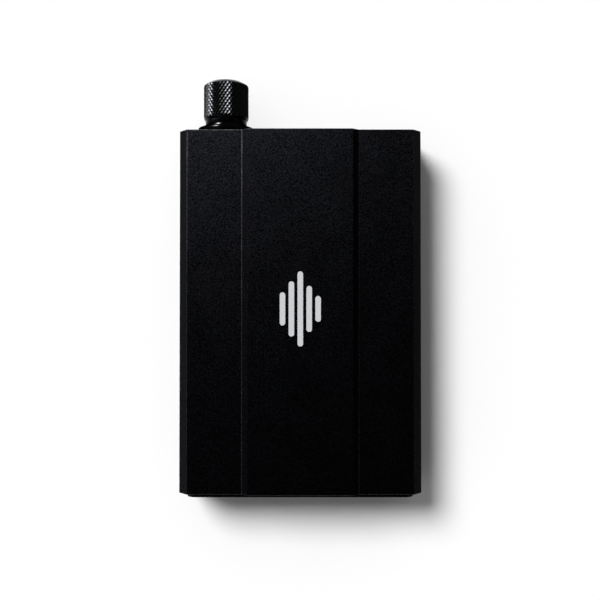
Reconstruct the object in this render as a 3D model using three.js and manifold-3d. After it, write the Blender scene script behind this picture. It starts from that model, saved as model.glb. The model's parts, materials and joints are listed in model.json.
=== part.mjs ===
// Digital audio player: milled case tube, end plates, knurled volume knob and its working insides.
// Millimetres, +Z up out of the rear face, +X to the right, +Y towards the volume knob.
import * as THREE from 'three';
import * as BufferGeometryUtils from 'three/addons/utils/BufferGeometryUtils.js';
import Module from 'manifold-3d';

const wasm = await Module();
wasm.setup();

// ---- driving dimensions ------------------------------------------------------------------------
const HALF_LENGTH = 50;              // case tube, half of its 100 mm length along Y
const SIDE_HALF = 33.4;              // half width over the side walls
const SHOULDER_HALF = 31.1;          // half width of the rear face inside its long chamfers
const SHOULDER_Z = 18.6;             // height of the side zones of the rear face
const CHAMFER_DROP = 2.6;            // depth of the rear chamfers on the side walls
const PANEL_HALF = 14.4;             // half width of the raised centre panel, flat part
const PANEL_FOOT_HALF = 16.05;       // half width at the foot of its sloping sides
const PANEL_Z = 20;                  // height of the raised panel
const FRONT_CHAMFER = 2.2;           // chamfer along the display side
const MID_Z = SHOULDER_Z / 2;        // centre height of everything fitted in the end plates

const CAVITY_HALF = 30.4;
const CAVITY_FLOOR = 2.0;            // inner face of the display-side wall
const CAVITY_ROOF = 16.6;
const CHANNEL = { width: 3.8, height: 3.2 };      // screw channels in the corners of the cavity
const RAIL = { half: 31.2, low: 5.3, high: 6.7 }; // grooves the main board slides in

const MOUTH = { half: 31.3, low: 1.3, high: 17.3, corner: 2.5, depth: 2.4 };
const PLATE_GAP = 0.1;
const BOTTOM_PLATE_LIP = 1.0;
const END_SCREW = { x: 29.0, dz: 5.9, head: 1.5, headHeight: 0.95, socket: 0.75, shank: 0.75, length: 6.4 };

const KNOB_X = -21.13;
const KNOB = {
  radius: 6.38, neckRadius: 5.89, rimRadius: 4.85, neckLow: 52.9, low: 54.3, knurlLow: 55.0,
  knurlHigh: 64.15, top: 65.1, bore: 3.05, boreTop: 62.2,
};
const KNURL = { columns: 56, rows: 14, depth: 0.24 };
const COLLAR = {
  baseRadius: 8.15, baseTop: 51.3, waistRadius: 7.95, waist: 51.85, neckRadius: 6.2, neck: 52.6,
  topRadius: 5.95, top: 52.72, recess: 6.1, recessTop: 52.15, bore: 3.75,
};
const ENCODER = { half: 5.0, low: 41.2, bushing: 3.5, bushingTop: 52.7, shaft: 3.0, shaftTop: 62.0 };

const GLASS = { half: 29, low: 3, high: 45, corner: 2.5, near: 0.3, far: 1.0 };
const WINDOW = { half: 26.5, low: 5.5, high: 42.5, corner: 1.2 };
const KEYS = [
  ['back_key', 19.5],
  ['previous_key', 6.5],
  ['play_key', -6.5],
  ['next_key', -19.5],
];
const KEY = { y: -28, width: 9.6, depth: 6.4, near: 0.3, gap: 0.2, flange: 1.0, flangeLow: 2.1, flangeHigh: 2.9 };

const BOARD = { low: 5.4, high: 6.6, half: 31.0, bottom: -46.5, top: 39.5 };
const AUDIO_BOARD = { low: 10.0, high: 11.0, half: 24, bottom: 4, top: 27 };
const BATTERY = { half: 26, bottom: -41, top: -1, low: 10.2, high: 16.0 };

const SMALL_JACK = { x: -5.5, half: 3.4, rise: 2.65, bore: 1.8, nose: 2.9, low: 33.5, ring: 4.0 };
const LARGE_JACK = { x: 7.0, half: 4.6, rise: 4.2, bore: 2.25, nose: 4.0, low: 30.5, ring: 5.0 };
const POWER = { x: 19.5, radius: 2.5, gap: 0.2, flange: 3.3, travel: 0.5, proud: 0.6 };
const LIGHT_PIPE = { x: 25.3, radius: 0.6 };
const USB = { x: 0, half: 4.47, rise: 1.6, radius: 1.3, wall: 0.35, z: 8.25, outer: -50.7, inner: -43.2 };
const CARD = { x: 17.5, half: 6.9, low: 6.65, high: 8.35, outer: -47.4, inner: -32.5, slotHalf: 5.9 };

const ROUND = 28;                    // facets of the larger turned pieces
const FINE = 12;                     // facets of screws and small bores

// ---- shape helpers -----------------------------------------------------------------------------
const toSolid = (geometry) => {
  const bare = geometry.clone();
  bare.deleteAttribute('normal');
  bare.deleteAttribute('uv');
  const merged = BufferGeometryUtils.mergeVertices(bare, 1e-4);
  return new wasm.Manifold(new wasm.Mesh({
    numProp: 3,
    vertProperties: new Float32Array(merged.attributes.position.array),
    triVerts: new Uint32Array(merged.index.array),
  }));
};

const toGeometry = (solid) => {
  const mesh = solid.getMesh();
  const geometry = new THREE.BufferGeometry();
  const stride = mesh.numProp;
  const count = mesh.vertProperties.length / stride;
  const positions = new Float32Array(count * 3);
  for (let i = 0; i < count; i += 1) {
    for (let k = 0; k < 3; k += 1) {
      positions[i * 3 + k] = mesh.vertProperties[i * stride + k];
    }
  }
  geometry.setAttribute('position', new THREE.BufferAttribute(positions, 3));
  geometry.setIndex(new THREE.BufferAttribute(new Uint32Array(mesh.triVerts), 1));
  const flat = geometry.toNonIndexed();
  flat.computeVertexNormals();
  return flat;
};

const subtractAll = (solid, cutters) => cutters.reduce((rest, cutter) => rest.subtract(cutter), solid);
const addAll = (solids) => solids.slice(1).reduce((sum, next) => sum.add(next), solids[0]);

// Block between two corners.
const block = (x0, x1, y0, y1, z0, z1) => {
  const geometry = new THREE.BoxGeometry(x1 - x0, y1 - y0, z1 - z0);
  geometry.translate((x0 + x1) / 2, (y0 + y1) / 2, (z0 + z1) / 2);
  return toSolid(geometry);
};

const roundedRect = (half, low, high, radius) => {
  const shape = new THREE.Shape();
  shape.moveTo(-half + radius, low);
  shape.lineTo(half - radius, low);
  shape.absarc(half - radius, low + radius, radius, -Math.PI / 2, 0, false);
  shape.lineTo(half, high - radius);
  shape.absarc(half - radius, high - radius, radius, 0, Math.PI / 2, false);
  shape.lineTo(-half + radius, high);
  shape.absarc(-half + radius, high - radius, radius, Math.PI / 2, Math.PI, false);
  shape.lineTo(-half, low + radius);
  shape.absarc(-half + radius, low + radius, radius, Math.PI, Math.PI * 1.5, false);
  return shape;
};

const polygon = (points) => new THREE.Shape(points.map(([a, b]) => new THREE.Vector2(a, b)));

// Outline in X and Z pushed along Y from y0 to y1.
const alongY = (shape, y0, y1, x = 0, bevel = 0) => {
  const geometry = new THREE.ExtrudeGeometry(shape, {
    depth: y1 - y0 - 2 * bevel,
    bevelEnabled: bevel > 0,
    bevelThickness: bevel,
    bevelSize: bevel,
    bevelOffset: -bevel,
    bevelSegments: 1,
    curveSegments: 4,
  });
  geometry.translate(0, 0, bevel);
  geometry.rotateX(Math.PI / 2);
  geometry.translate(x, y1, 0);
  return toSolid(geometry);
};

// Outline in X and Y pushed up along Z from z0 to z1.
const alongZ = (shape, z0, z1, x = 0, bevel = 0) => {
  const geometry = new THREE.ExtrudeGeometry(shape, {
    depth: z1 - z0 - 2 * bevel,
    bevelEnabled: bevel > 0,
    bevelThickness: bevel,
    bevelSize: bevel,
    bevelOffset: -bevel,
    bevelSegments: 1,
    curveSegments: 4,
  });
  geometry.translate(x, 0, z0 + bevel);
  return toSolid(geometry);
};

// Turned about an axis parallel to Y; the profile is [radius, y] pairs, closed on itself or on the axis.
const turned = (profile, x, z, facets = ROUND) => {
  const geometry = new THREE.LatheGeometry(profile.map(([r, y]) => new THREE.Vector2(r, y)), facets);
  geometry.translate(x, 0, z);
  return toSolid(geometry);
};

const rod = (radius, y0, y1, x, z, facets = ROUND) => (
  turned([[0, y0], [radius, y0], [radius, y1], [0, y1]], x, z, facets)
);

const ring = (outer, inner, y0, y1, x, z, facets = ROUND) => (
  turned([[inner, y0], [outer, y0], [outer, y1], [inner, y1], [inner, y0]], x, z, facets)
);

const pillar = (radius, z0, z1, x, y, facets = FINE) => {
  const geometry = new THREE.CylinderGeometry(radius, radius, z1 - z0, facets);
  geometry.rotateX(Math.PI / 2);
  geometry.translate(x, y, (z0 + z1) / 2);
  return toSolid(geometry);
};

const hexPrism = (acrossFlats, y0, y1, x, z) => {
  const geometry = new THREE.CylinderGeometry(acrossFlats / Math.sqrt(3), acrossFlats / Math.sqrt(3), y1 - y0, 6);
  geometry.translate(x, (y0 + y1) / 2, z);
  return toSolid(geometry);
};

// ---- materials and the group -------------------------------------------------------------------
const FINISH = {
  caseAnodised: [0x1d1e21, 0.55, 0.85],
  plateAnodised: [0x17181a, 0.5, 0.85],
  knobAnodised: [0x101113, 0.4, 0.9],
  collar: [0x1a1b1d, 0.28, 0.95],
  steel: [0x9a9da1, 0.35, 1.0],
  darkSteel: [0x2a2b2e, 0.4, 1.0],
  brass: [0xc9a24a, 0.3, 1.0],
  glass: [0x07080a, 0.06, 0.1],
  rubber: [0x0c0c0d, 0.85, 0.0],
  displayPanel: [0x20242a, 0.4, 0.2],
  ribbon: [0xb46a1e, 0.5, 0.1],
  board: [0x12402a, 0.55, 0.05],
  audioBoard: [0x14285a, 0.55, 0.05],
  chip: [0x16171a, 0.6, 0.05],
  ceramic: [0xb99a6a, 0.5, 0.0],
  tin: [0xc4c7ca, 0.3, 1.0],
  plastic: [0x18181a, 0.55, 0.0],
  palePlastic: [0xdedbd2, 0.5, 0.0],
  battery: [0x2c5f8f, 0.45, 0.05],
  key: [0x24262a, 0.45, 0.6],
};

const group = new THREE.Group();
group.name = 'audio_player';

const place = (name, solid, finish) => {
  const [color, roughness, metalness] = FINISH[finish];
  const material = new THREE.MeshStandardMaterial({ color, roughness, metalness });
  material.name = finish;
  const mesh = new THREE.Mesh(toGeometry(solid), material);
  mesh.name = name;
  group.add(mesh);
};

// ---- case --------------------------------------------------------------------------------------
const caseOutline = () => polygon([
  [-SIDE_HALF + FRONT_CHAMFER, 0],
  [SIDE_HALF - FRONT_CHAMFER, 0],
  [SIDE_HALF, FRONT_CHAMFER],
  [SIDE_HALF, SHOULDER_Z - CHAMFER_DROP],
  [SHOULDER_HALF, SHOULDER_Z],
  [PANEL_FOOT_HALF, SHOULDER_Z],
  [PANEL_HALF, PANEL_Z],
  [-PANEL_HALF, PANEL_Z],
  [-PANEL_FOOT_HALF, SHOULDER_Z],
  [-SHOULDER_HALF, SHOULDER_Z],
  [-SIDE_HALF, SHOULDER_Z - CHAMFER_DROP],
  [-SIDE_HALF, FRONT_CHAMFER],
]);

// Cavity outline, stepping round a screw channel in each corner.
const cavityOutline = () => {
  const inner = CAVITY_HALF - CHANNEL.width;
  const lowStep = CAVITY_FLOOR + CHANNEL.height;
  const highStep = CAVITY_ROOF - CHANNEL.height;
  return polygon([
    [-inner, CAVITY_FLOOR],
    [inner, CAVITY_FLOOR],
    [inner, lowStep],
    [CAVITY_HALF, lowStep],
    [CAVITY_HALF, highStep],
    [inner, highStep],
    [inner, CAVITY_ROOF],
    [-inner, CAVITY_ROOF],
    [-inner, highStep],
    [-CAVITY_HALF, highStep],
    [-CAVITY_HALF, lowStep],
    [-inner, lowStep],
  ]);
};

const screwSpots = () => {
  const spots = [];
  for (const x of [-END_SCREW.x, END_SCREW.x]) {
    for (const dz of [-END_SCREW.dz, END_SCREW.dz]) {
      spots.push([x, MID_Z + dz]);
    }
  }
  return spots;
};

const keyOutline = (grow) => roundedRect(
  KEY.width / 2 + grow,
  KEY.y - KEY.depth / 2 - grow,
  KEY.y + KEY.depth / 2 + grow,
  KEY.depth / 2 + grow - 0.01,
);

const buildCase = () => {
  const past = 1;
  const cutters = [alongY(cavityOutline(), -HALF_LENGTH - past, HALF_LENGTH + past)];
  const railEnd = HALF_LENGTH - MOUTH.depth;
  cutters.push(block(-RAIL.half, RAIL.half, -railEnd, railEnd, RAIL.low, RAIL.high));
  const mouth = roundedRect(MOUTH.half, MOUTH.low, MOUTH.high, MOUTH.corner);
  cutters.push(alongY(mouth, HALF_LENGTH - MOUTH.depth, HALF_LENGTH + past));
  cutters.push(alongY(mouth, -HALF_LENGTH - past, -HALF_LENGTH + MOUTH.depth));
  for (const [x, z] of screwSpots()) {
    const bore = END_SCREW.shank + 0.05;
    cutters.push(rod(bore, HALF_LENGTH - 9, HALF_LENGTH, x, z, FINE));
    cutters.push(rod(bore, -HALF_LENGTH, -HALF_LENGTH + 9, x, z, FINE));
  }
  const pocketGap = 0.1;
  cutters.push(alongZ(
    roundedRect(GLASS.half + pocketGap, GLASS.low - pocketGap, GLASS.high + pocketGap, GLASS.corner),
    -past,
    GLASS.far + 0.2,
  ));
  cutters.push(alongZ(
    roundedRect(WINDOW.half, WINDOW.low, WINDOW.high, WINDOW.corner),
    0,
    CAVITY_FLOOR + CHANNEL.height,
  ));
  for (const [, x] of KEYS) {
    cutters.push(alongZ(keyOutline(KEY.gap), -past, CAVITY_FLOOR + past, x));
  }
  place('case_tube', subtractAll(alongY(caseOutline(), -HALF_LENGTH, HALF_LENGTH), cutters), 'caseAnodised');
};

// ---- end plates --------------------------------------------------------------------------------
const plateOutline = () => roundedRect(
  MOUTH.half - PLATE_GAP,
  MOUTH.low + PLATE_GAP,
  MOUTH.high - PLATE_GAP,
  MOUTH.corner - PLATE_GAP,
);

const TOP_FACE = HALF_LENGTH;
const TOP_INNER = HALF_LENGTH - MOUTH.depth;
const BOTTOM_FACE = -HALF_LENGTH - BOTTOM_PLATE_LIP;
const BOTTOM_INNER = -HALF_LENGTH + MOUTH.depth;
const RING_SEAT = 0.8;               // depth of the counterbores for the jack rings
const HEAD_SEAT = 1.1;               // depth of the counterbores for the end screws

const buildTopPlate = () => {
  const cutters = [];
  for (const [x, z] of screwSpots()) {
    cutters.push(rod(END_SCREW.shank + 0.1, TOP_INNER - 1, TOP_FACE + 1, x, z, FINE));
    cutters.push(rod(END_SCREW.head + 0.12, TOP_FACE - HEAD_SEAT, TOP_FACE + 1, x, z, FINE));
  }
  cutters.push(rod(ENCODER.bushing + 0.1, TOP_INNER - 1, TOP_FACE + 1, KNOB_X, MID_Z));
  for (const jack of [SMALL_JACK, LARGE_JACK]) {
    cutters.push(rod(jack.nose + 0.1, TOP_INNER - 1, TOP_FACE + 1, jack.x, MID_Z));
    cutters.push(rod(jack.ring + 0.05, TOP_FACE - RING_SEAT, TOP_FACE + 1, jack.x, MID_Z));
  }
  cutters.push(rod(POWER.radius + POWER.gap, TOP_INNER - 1, TOP_FACE + 1, POWER.x, MID_Z));
  cutters.push(rod(LIGHT_PIPE.radius + 0.05, TOP_INNER - 1, TOP_FACE + 1, LIGHT_PIPE.x, MID_Z, FINE));
  place('top_end_plate', subtractAll(alongY(plateOutline(), TOP_INNER, TOP_FACE), cutters), 'plateAnodised');
};

const buildBottomPlate = () => {
  const cutters = [];
  for (const [x, z] of screwSpots()) {
    cutters.push(rod(END_SCREW.shank + 0.1, BOTTOM_FACE - 1, BOTTOM_INNER + 1, x, z, FINE));
    cutters.push(rod(END_SCREW.head + 0.12, BOTTOM_FACE - 1, BOTTOM_FACE + HEAD_SEAT, x, z, FINE));
  }
  const usbHole = roundedRect(
    USB.half + 0.15,
    USB.z - USB.rise - 0.15,
    USB.z + USB.rise + 0.15,
    USB.radius + 0.15,
  );
  cutters.push(alongY(usbHole, BOTTOM_FACE - 1, BOTTOM_INNER + 1, USB.x));
  const cardHole = roundedRect(CARD.slotHalf, CARD.low + 0.25, CARD.high + 0.05, 0.5);
  cutters.push(alongY(cardHole, BOTTOM_FACE - 1, BOTTOM_INNER + 1, CARD.x));
  const body = alongY(plateOutline(), BOTTOM_FACE, BOTTOM_INNER, 0, 0.35);
  place('bottom_end_plate', subtractAll(body, cutters), 'plateAnodised');
};

// Socket-head screw; outward is +1 at the top end and -1 at the bottom end.
const endScrew = (x, z, face, outward) => {
  const headTop = face - outward * 0.1;
  const headLow = headTop - outward * END_SCREW.headHeight;
  const tip = headLow - outward * END_SCREW.length;
  const span = (a, b) => [Math.min(a, b), Math.max(a, b)];
  const head = rod(END_SCREW.head, ...span(headTop, headLow), x, z, FINE);
  const shank = rod(END_SCREW.shank, ...span(headLow + outward * 0.2, tip), x, z, FINE);
  const socket = hexPrism(END_SCREW.socket * 2, ...span(headTop + outward, headTop - outward * 0.6), x, z);
  return head.add(shank).subtract(socket);
};

const buildEndScrews = () => {
  screwSpots().forEach(([x, z], index) => {
    place(`top_screw_${index + 1}`, endScrew(x, z, TOP_FACE, 1), 'darkSteel');
    place(`bottom_screw_${index + 1}`, endScrew(x, z, BOTTOM_FACE, -1), 'darkSteel');
  });
};

// ---- volume knob and encoder -------------------------------------------------------------------
const buildCollar = () => {
  const profile = [
    [COLLAR.recess, TOP_FACE],
    [COLLAR.baseRadius, TOP_FACE],
    [COLLAR.baseRadius, COLLAR.baseTop],
    [COLLAR.waistRadius, COLLAR.waist],
    [COLLAR.neckRadius, COLLAR.neck],
    [COLLAR.topRadius, COLLAR.top],
    [COLLAR.bore, COLLAR.top],
    [COLLAR.bore, COLLAR.recessTop],
    [COLLAR.recess, COLLAR.recessTop],
    [COLLAR.recess, TOP_FACE],
  ];
  place('knob_collar', turned(profile, KNOB_X, MID_Z, KNURL.columns), 'collar');
};

// Cylinder whose skin is raised into rows of small pyramids: alternate points of the turned grid are
// pushed in, and each quad is folded along the valley between two of them.
const knurledSleeve = () => {
  const points = [new THREE.Vector2(0, KNOB.knurlLow)];
  for (let row = 0; row <= KNURL.rows; row += 1) {
    const y = KNOB.knurlLow + (KNOB.knurlHigh - KNOB.knurlLow) * row / KNURL.rows;
    points.push(new THREE.Vector2(KNOB.radius, y));
  }
  points.push(new THREE.Vector2(0, KNOB.knurlHigh));
  const lathe = new THREE.LatheGeometry(points, KNURL.columns);
  const position = lathe.attributes.position;
  const perColumn = points.length;
  const isLow = (column, row) => (column + row) % 2 === 1;
  for (let column = 0; column <= KNURL.columns; column += 1) {
    for (let row = 1; row < KNURL.rows; row += 1) {
      if (isLow(column, row)) {
        const at = column * perColumn + row + 1;
        const scale = (KNOB.radius - KNURL.depth) / KNOB.radius;
        position.setXYZ(at, position.getX(at) * scale, position.getY(at), position.getZ(at) * scale);
      }
    }
  }
  const folded = [];
  for (let column = 0; column < KNURL.columns; column += 1) {
    for (let step = 0; step < perColumn - 1; step += 1) {
      const a = column * perColumn + step;
      const b = a + perColumn;
      const c = b + 1;
      const d = a + 1;
      const atPole = step === 0 || step === perColumn - 2;
      if (atPole || isLow(column, step - 1)) {
        folded.push(a, c, d, a, b, c);
      } else {
        folded.push(a, b, d, b, c, d);
      }
    }
  }
  lathe.setIndex(folded);
  lathe.translate(KNOB_X, 0, MID_Z);
  return toSolid(lathe);
};

const SET_SCREW_Y = 58.4;

const buildKnob = () => {
  const dish = 0.5;
  const lower = turned([
    [0, KNOB.neckLow],
    [KNOB.neckRadius - 0.1, KNOB.neckLow],
    [KNOB.neckRadius, KNOB.neckLow + 0.1],
    [KNOB.neckRadius, KNOB.low],
    [KNOB.radius - 0.35, KNOB.low],
    [KNOB.radius, KNOB.knurlLow - 0.15],
    [KNOB.radius, KNOB.knurlLow + 0.001],
    [0, KNOB.knurlLow + 0.001],
  ], KNOB_X, MID_Z, KNURL.columns);
  const upper = turned([
    [0, KNOB.knurlHigh - 0.001],
    [KNOB.radius, KNOB.knurlHigh - 0.001],
    [KNOB.radius, KNOB.knurlHigh + 0.1],
    [KNOB.rimRadius, KNOB.top],
    [KNOB.rimRadius - 0.7, KNOB.top],
    [KNOB.rimRadius - 1.1, KNOB.top - dish],
    [0, KNOB.top - dish],
  ], KNOB_X, MID_Z, KNURL.columns);
  const bore = rod(KNOB.bore, KNOB.neckLow - 1, KNOB.boreTop, KNOB_X, MID_Z);
  const screwHole = new THREE.CylinderGeometry(1.05, 1.05, 5, FINE);
  screwHole.rotateX(Math.PI / 2);
  screwHole.translate(KNOB_X, SET_SCREW_Y, MID_Z - 4.5);
  const whole = addAll([knurledSleeve(), lower, upper]);
  place('volume_knob', subtractAll(whole, [bore, toSolid(screwHole)]), 'knobAnodised');
};

const buildSetScrew = () => {
  const screw = pillar(1.0, MID_Z - 5.4, MID_Z - 2.65, KNOB_X, SET_SCREW_Y);
  const socketRadius = 0.5;
  const socket = new THREE.CylinderGeometry(socketRadius, socketRadius, 2.4, 6);
  socket.rotateX(Math.PI / 2);
  socket.translate(KNOB_X, SET_SCREW_Y, MID_Z - 5.4);
  place('knob_set_screw', screw.subtract(toSolid(socket)), 'darkSteel');
};

const buildEncoder = () => {
  const body = block(
    KNOB_X - ENCODER.half,
    KNOB_X + ENCODER.half,
    ENCODER.low,
    TOP_INNER - 0.1,
    MID_Z - ENCODER.half,
    MID_Z + ENCODER.half,
  );
  const bushing = rod(ENCODER.bushing, TOP_INNER - 0.5, ENCODER.bushingTop, KNOB_X, MID_Z);
  const bore = rod(ENCODER.shaft + 0.1, ENCODER.low + 1.5, ENCODER.bushingTop + 1, KNOB_X, MID_Z);
  place('encoder_body', body.add(bushing).subtract(bore), 'steel');

  const flatDepth = 0.45;
  const shaft = rod(ENCODER.shaft, ENCODER.low + 1.8, ENCODER.shaftTop, KNOB_X, MID_Z);
  const flat = block(
    KNOB_X - 4,
    KNOB_X + 4,
    KNOB.neckLow + 0.4,
    ENCODER.shaftTop + 1,
    MID_Z - 4,
    MID_Z - ENCODER.shaft + flatDepth,
  );
  place('encoder_shaft', shaft.subtract(flat), 'steel');

  const nutGap = 0.05;
  const nut = hexPrism(10, TOP_FACE, TOP_FACE + 2, KNOB_X, MID_Z);
  const nutBore = rod(ENCODER.bushing + nutGap, TOP_FACE - 1, TOP_FACE + 3, KNOB_X, MID_Z);
  place('encoder_nut', nut.subtract(nutBore), 'brass');
};

// ---- top end fittings --------------------------------------------------------------------------
const buildJack = (name, jack) => {
  const body = block(
    jack.x - jack.half,
    jack.x + jack.half,
    jack.low,
    TOP_INNER - 0.1,
    MID_Z - jack.rise,
    MID_Z + jack.rise,
  );
  const nose = rod(jack.nose, TOP_INNER - 0.5, TOP_FACE - RING_SEAT - 0.1, jack.x, MID_Z);
  const bore = rod(jack.bore, jack.low + 1.2, TOP_FACE, jack.x, MID_Z, FINE + 4);
  place(name, body.add(nose).subtract(bore), 'plastic');
  const trim = ring(jack.ring, jack.bore, TOP_FACE - RING_SEAT, TOP_FACE + 0.15, jack.x, MID_Z);
  place(`${name}_ring`, trim, 'brass');
};

const buildPowerButton = () => {
  const flangeTop = TOP_INNER - 0.1;
  const flange = rod(POWER.flange, flangeTop - 0.8, flangeTop, POWER.x, MID_Z);
  const cap = turned([
    [0, flangeTop - 0.4],
    [POWER.radius, flangeTop - 0.4],
    [POWER.radius, TOP_FACE + POWER.proud - 0.25],
    [POWER.radius - 0.25, TOP_FACE + POWER.proud],
    [0, TOP_FACE + POWER.proud],
  ], POWER.x, MID_Z);
  place('power_button', cap.add(flange), 'key');

  const switchTop = flangeTop - 0.8 - POWER.travel - 0.1;
  const plunger = rod(1.0, switchTop - 1.2, switchTop, POWER.x, MID_Z, FINE);
  const body = block(POWER.x - 2.6, POWER.x + 2.6, switchTop - 3.2, switchTop - 0.8, BOARD.high, MID_Z + 1.8);
  const foot = block(POWER.x - 2.6, POWER.x + 2.6, switchTop - 8, switchTop - 0.8, BOARD.high, BOARD.high + 1.0);
  place('power_switch', addAll([body, plunger, foot]), 'plastic');
};

const buildLightPipe = () => {
  const pipe = rod(LIGHT_PIPE.radius, TOP_INNER - 4.5, TOP_FACE + 0.05, LIGHT_PIPE.x, MID_Z, FINE);
  place('light_pipe', pipe, 'palePlastic');
};

// ---- bottom end fittings -----------------------------------------------------------------------
const buildUsbSocket = () => {
  const outline = (shrink) => roundedRect(
    USB.half - shrink,
    USB.z - USB.rise + shrink,
    USB.z + USB.rise - shrink,
    USB.radius - shrink,
  );
  const shell = alongY(outline(0), USB.outer, USB.inner, USB.x);
  const hollow = alongY(outline(USB.wall), USB.outer - 1, USB.inner - 1.0, USB.x);
  const tongue = block(USB.x - 3.3, USB.x + 3.3, USB.outer + 1.0, USB.inner - 0.5, USB.z - 0.35, USB.z + 0.35);
  place('usb_socket', shell.subtract(hollow).add(tongue), 'tin');
};

const buildCardSocket = () => {
  const shell = block(CARD.x - CARD.half, CARD.x + CARD.half, CARD.outer, CARD.inner, CARD.low, CARD.high);
  const slot = block(
    CARD.x - CARD.slotHalf + 0.2,
    CARD.x + CARD.slotHalf - 0.2,
    CARD.outer - 1,
    CARD.inner - 1.2,
    CARD.low + 0.4,
    CARD.high - 0.25,
  );
  place('card_socket', shell.subtract(slot), 'tin');
};

// ---- display and keys --------------------------------------------------------------------------
const buildDisplay = () => {
  const glass = roundedRect(GLASS.half, GLASS.low, GLASS.high, GLASS.corner);
  place('display_glass', alongZ(glass, GLASS.near, GLASS.far), 'glass');

  const frame = alongZ(glass, GLASS.far, GLASS.far + 0.2);
  const opening = alongZ(roundedRect(WINDOW.half, WINDOW.low, WINDOW.high, WINDOW.corner), 0, 3);
  place('display_gasket', frame.subtract(opening), 'rubber');

  const gap = 0.3;
  const panel = roundedRect(WINDOW.half - gap, WINDOW.low + gap, WINDOW.high - gap, WINDOW.corner - gap);
  place('display_panel', alongZ(panel, GLASS.far + 0.05, 3.4), 'displayPanel');
};

// Flat ribbon from the back of the display panel, folded up to the main board.
const buildDisplayRibbon = () => {
  const thick = 0.25;
  const ribbonLow = 3.45;
  const ribbonHigh = BOARD.low - thick - 0.05;
  const shape = polygon([
    [14, ribbonLow],
    [14, ribbonLow + thick],
    [-7 + thick, ribbonLow + thick],
    [-7 + thick, ribbonHigh + thick],
    [-14, ribbonHigh + thick],
    [-14, ribbonHigh],
    [-7, ribbonHigh],
    [-7, ribbonLow],
  ]);
  const geometry = new THREE.ExtrudeGeometry(shape, { depth: 14, bevelEnabled: false });
  geometry.rotateX(Math.PI / 2);
  geometry.rotateZ(Math.PI / 2);
  geometry.translate(-7, 0, 0);
  place('display_ribbon', toSolid(geometry), 'ribbon');
};

const buildKeys = () => {
  for (const [name, x] of KEYS) {
    const cap = alongZ(keyOutline(0), KEY.near, KEY.flangeLow + 0.2, x, 0.2);
    const flange = alongZ(keyOutline(KEY.flange), KEY.flangeLow, KEY.flangeHigh, x);
    place(name, cap.add(flange), 'key');

    const stemTip = KEY.flangeHigh + 0.4;
    const body = block(x - 2.25, x + 2.25, KEY.y - 2.25, KEY.y + 2.25, stemTip + 0.6, BOARD.low);
    const stem = pillar(1.1, stemTip, stemTip + 1.0, x, KEY.y);
    place(name.replace('_key', '_switch'), body.add(stem), 'plastic');
  }
};

// ---- boards ------------------------------------------------------------------------------------
const buildMainBoard = () => {
  const sheet = block(-BOARD.half, BOARD.half, BOARD.bottom, BOARD.top, BOARD.low, BOARD.high);
  const tongueEnd = TOP_INNER - 1.7;
  const tongue = block(-12, 26, BOARD.top - 0.5, tongueEnd, BOARD.low, BOARD.high);
  const clearance = 0.3;
  const jackSlot = block(
    LARGE_JACK.x - LARGE_JACK.half - clearance,
    LARGE_JACK.x + LARGE_JACK.half + clearance,
    LARGE_JACK.low - clearance,
    tongueEnd + 1,
    BOARD.low - 1,
    BOARD.high + 1,
  );
  place('main_board', sheet.add(tongue).subtract(jackSlot), 'board');
};

const SHIELD = { x: -14, y: -22, half: 10, rise: 2.4, wall: 0.3 };

const buildMainBoardParts = () => {
  const chipGap = 0.02;
  const shieldLow = BOARD.high + chipGap;
  const shell = block(
    SHIELD.x - SHIELD.half,
    SHIELD.x + SHIELD.half,
    SHIELD.y - SHIELD.half,
    SHIELD.y + SHIELD.half,
    shieldLow,
    shieldLow + SHIELD.rise,
  );
  const hollow = block(
    SHIELD.x - SHIELD.half + SHIELD.wall,
    SHIELD.x + SHIELD.half - SHIELD.wall,
    SHIELD.y - SHIELD.half + SHIELD.wall,
    SHIELD.y + SHIELD.half - SHIELD.wall,
    shieldLow - 1,
    shieldLow + SHIELD.rise - SHIELD.wall,
  );
  place('shield_can', shell.subtract(hollow), 'tin');
  place('processor_chip', block(
    SHIELD.x - 6, SHIELD.x + 6, SHIELD.y - 6, SHIELD.y + 6, shieldLow, shieldLow + 1.3,
  ), 'chip');
  place('memory_chip', block(8, 18, -24, -11, shieldLow, shieldLow + 1.1), 'chip');
  place('board_connector', block(-10, 10, 12, 17, shieldLow, AUDIO_BOARD.low - chipGap), 'palePlastic');
};

const buildAudioBoard = () => {
  const { half, bottom, top, low, high } = AUDIO_BOARD;
  place('audio_board', block(-half, half, bottom, top, low, high), 'audioBoard');
  const partLow = high + 0.02;
  place('dac_chip', block(-4, 4, 11, 19, partLow, partLow + 1.2), 'chip');
  place('left_amplifier_chip', block(-17, -12, 18, 24, partLow, partLow + 1.4), 'chip');
  place('right_amplifier_chip', block(12, 17, 18, 24, partLow, partLow + 1.4), 'chip');
  [-18, -10, 10, 18].forEach((x, index) => {
    place(`capacitor_${index + 1}`, pillar(2.4, partLow, partLow + 4.6, x, 10.5), 'tin');
  });
};

// ---- battery -----------------------------------------------------------------------------------
const buildBattery = () => {
  const outline = roundedRect(BATTERY.half, BATTERY.bottom, BATTERY.top, 2);
  place('battery_pack', alongZ(outline, BATTERY.low, BATTERY.high, 0, 0.5), 'battery');
  const pad = roundedRect(BATTERY.half - 3, BATTERY.bottom + 3, BATTERY.top - 3, 1);
  place('battery_pad', alongZ(pad, BATTERY.high, CAVITY_ROOF), 'rubber');
  place('battery_plug', block(20.5, 27.5, -9, -4.5, BOARD.high + 0.02, BOARD.high + 3), 'palePlastic');
};

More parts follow.
